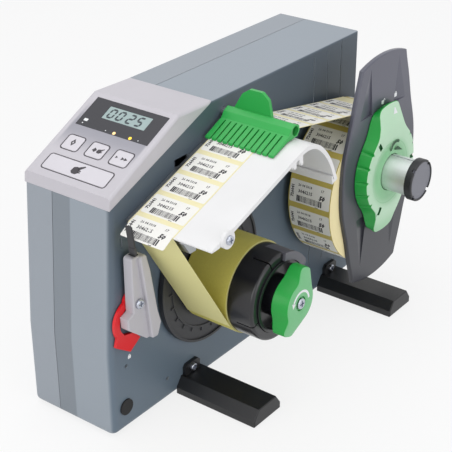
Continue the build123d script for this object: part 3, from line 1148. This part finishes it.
# Electrics
board = block(BOARD_X0, BOARD_X1, BOARD_Y, BOARD_Y + BOARD_T, BOARD_Z0, BOARD_Z1)
CHIPS = [(0.14, 20, 22, 22, 3), (0.36, 14, 16, 30, 9), (0.53, 20, 14, 10, 12), (0.68, 12, 30, 12, 10), (0.68, 34, 12, 12, 14)]
for share, up, w, h, t in CHIPS:
    x0 = BOARD_X0 + share * (BOARD_X1 - BOARD_X0)
    z0 = BOARD_Z0 + up
    board += block(x0, x0 + w, BOARD_Y + BOARD_T, BOARD_Y + BOARD_T + t, z0, z0 + h)
parts["control_board"] = board
PSU_X0, PSU_X1 = MOTOR_X + MOTOR_W / 2 + 8.5, HOUSING_L - 30.0
PSU_Z0, PSU_Z1, PSU_T = 22.0, 98.0, 38.0
PSU_SLOTS = int((PSU_X1 - PSU_X0 - 16) / 9.5)
psu = block(PSU_X0, PSU_X1, HUB_Y0, HUB_Y0 + PSU_T, PSU_Z0, PSU_Z1)
for i in range(PSU_SLOTS):
    gx = PSU_X0 + 10 + i * 9.5
    psu -= block(gx, gx + 3, HUB_Y0 + PSU_T - 2, HUB_Y0 + PSU_T + 1, PSU_Z0 + 12, PSU_Z1 - 12)
parts["power_supply"] = psu

g = FIT_GAP / 2
inlet = block(INLET_X - INLET_W / 2 + g, INLET_X + INLET_W / 2 - g, HOUSING_T - 21, HOUSING_T, INLET_Z - INLET_H / 2 + g,
              INLET_Z + INLET_H / 2 - g)
inlet += block(INLET_X - INLET_W / 2 - INLET_BEZEL, INLET_X + INLET_W / 2 + INLET_BEZEL, HOUSING_T, HOUSING_T + 1.6,
               INLET_Z - INLET_H / 2 - INLET_BEZEL, INLET_Z + INLET_H / 2 + INLET_BEZEL)
SOCKET_W, SOCKET_H, SOCKET_D = 22.0, 16.0, 16.0
inlet -= block(INLET_X - SOCKET_W / 2, INLET_X + SOCKET_W / 2, HOUSING_T + 1.6 - SOCKET_D, HOUSING_T + 3, INLET_Z - SOCKET_H / 2,
               INLET_Z + SOCKET_H / 2)
for px, pz in ((-7, -1.5), (7, -1.5), (0, 2.0)):
    inlet += block(INLET_X + px - 1, INLET_X + px + 1, HOUSING_T - SOCKET_D, HOUSING_T - 3, INLET_Z + pz - 2, INLET_Z + pz + 2)
parts["mains_inlet"] = inlet

frame_ = block(SWITCH_X - SWITCH_W / 2 + g, SWITCH_X + SWITCH_W / 2 - g, HOUSING_T - 18, HOUSING_T, SWITCH_Z - SWITCH_H / 2 + g,
               SWITCH_Z + SWITCH_H / 2 - g)
frame_ += block(SWITCH_X - SWITCH_W / 2 - SWITCH_BEZEL, SWITCH_X + SWITCH_W / 2 + SWITCH_BEZEL, HOUSING_T,
                HOUSING_T + 1.4, SWITCH_Z - SWITCH_H / 2 - SWITCH_BEZEL, SWITCH_Z + SWITCH_H / 2 + SWITCH_BEZEL)
ROCKER_W, ROCKER_H = 17.0, 22.0
ROCKER_GAP = 0.4
frame_ -= block(SWITCH_X - ROCKER_W / 2 - ROCKER_GAP, SWITCH_X + ROCKER_W / 2 + ROCKER_GAP, HOUSING_T - 12, HOUSING_T + 3,
                SWITCH_Z - ROCKER_H / 2 - 1.2, SWITCH_Z + ROCKER_H / 2 + 1.2)
PIVOT_Y = HOUSING_T - 4.0
frame_ += Pos(SWITCH_X, PIVOT_Y, SWITCH_Z) * Rot(0, 90, 0) * Cylinder(1.2, ROCKER_W + 2 * ROCKER_GAP + 1)
parts["switch_frame"] = frame_
ROCKER_TILT = 7.0
with BuildSketch(Plane.YZ.offset(SWITCH_X - ROCKER_W / 2)) as s:
    with BuildLine():
        Polyline((PIVOT_Y - 4, SWITCH_Z - 4), (PIVOT_Y - 4, SWITCH_Z + 4), (PIVOT_Y + 2, SWITCH_Z + ROCKER_H / 2),
                 (PIVOT_Y + 6.4, SWITCH_Z + ROCKER_H / 2), (PIVOT_Y + 5.0, SWITCH_Z), (PIVOT_Y + 6.4, SWITCH_Z - ROCKER_H / 2),
                 (PIVOT_Y + 2, SWITCH_Z - ROCKER_H / 2), close=True)
    make_face()
rocker = extrude(s.sketch, amount=ROCKER_W, dir=(1, 0, 0))
rocker -= Pos(SWITCH_X, PIVOT_Y, SWITCH_Z) * Rot(0, 90, 0) * Cylinder(1.28, ROCKER_W + 4)
rocker = Pos(SWITCH_X, PIVOT_Y, SWITCH_Z) * Rot(-ROCKER_TILT, 0, 0) * Pos(-SWITCH_X, -PIVOT_Y, -SWITCH_Z) * rocker
parts["power_rocker"] = rocker
ports = []
for i in range(PORT_COUNT):
    px = PORT_X + i * PORT_PITCH
    port = rod(px, PORT_Z, PORT_R - 0.1, HOUSING_T - 12, HOUSING_T)
    port += rod(px, PORT_Z, PORT_R + 2.5, HOUSING_T, HOUSING_T + 2.0)
    port -= rod(px, PORT_Z, PORT_R - 2.2, HOUSING_T - 1.6, HOUSING_T + 3)
    for k in range(4):
        gx, gz = polar(px, PORT_Z, 3.0, 45 + 90 * k)
        port -= rod(gx, gz, 0.7, HOUSING_T - 6, HOUSING_T)
    ports.append(port)
parts["interface_ports"] = Compound(children=ports)

# Place and export
boxes = [shape.bounding_box() for shape in parts.values()]
X_MID = (min(b.min.X for b in boxes) + max(b.max.X for b in boxes)) / 2
Y_MID = (min(b.min.Y for b in boxes) + max(b.max.Y for b in boxes)) / 2
Z_LOW = min(b.min.Z for b in boxes)
print("shift", X_MID, Y_MID, Z_LOW)
print("size", [round(max(getattr(b.max, k) for b in boxes) - min(getattr(b.min, k) for b in boxes), 3) for k in "XYZ"])
shift = Pos(-X_MID, -Y_MID, -Z_LOW)
for name, shape in parts.items():
    print(name, round(shape.volume), len(shape.solids()), bool(shape.is_valid))
    export_step(shift * shape, f"parts/{name}.step")
print("anchors", {k: tuple(round(v, 3) for v in p) for k, p in {
    "roll": (ROLL_X - X_MID, ROLL_Z), "shaft": (SHAFT_X - X_MID, SHAFT_Z), "rewinder": (REW_X - X_MID, REW_Z),
    "comb": (COMB_X - X_MID, COMB_Z), "arm": (ARM_X - X_MID, ARM_Z), "motor": (MOTOR_X - X_MID, MOTOR_Z),
    "rocker": (SWITCH_X - X_MID, PIVOT_Y - Y_MID, SWITCH_Z), "panel_normal": tuple(panel_plane.z_dir)}.items()})
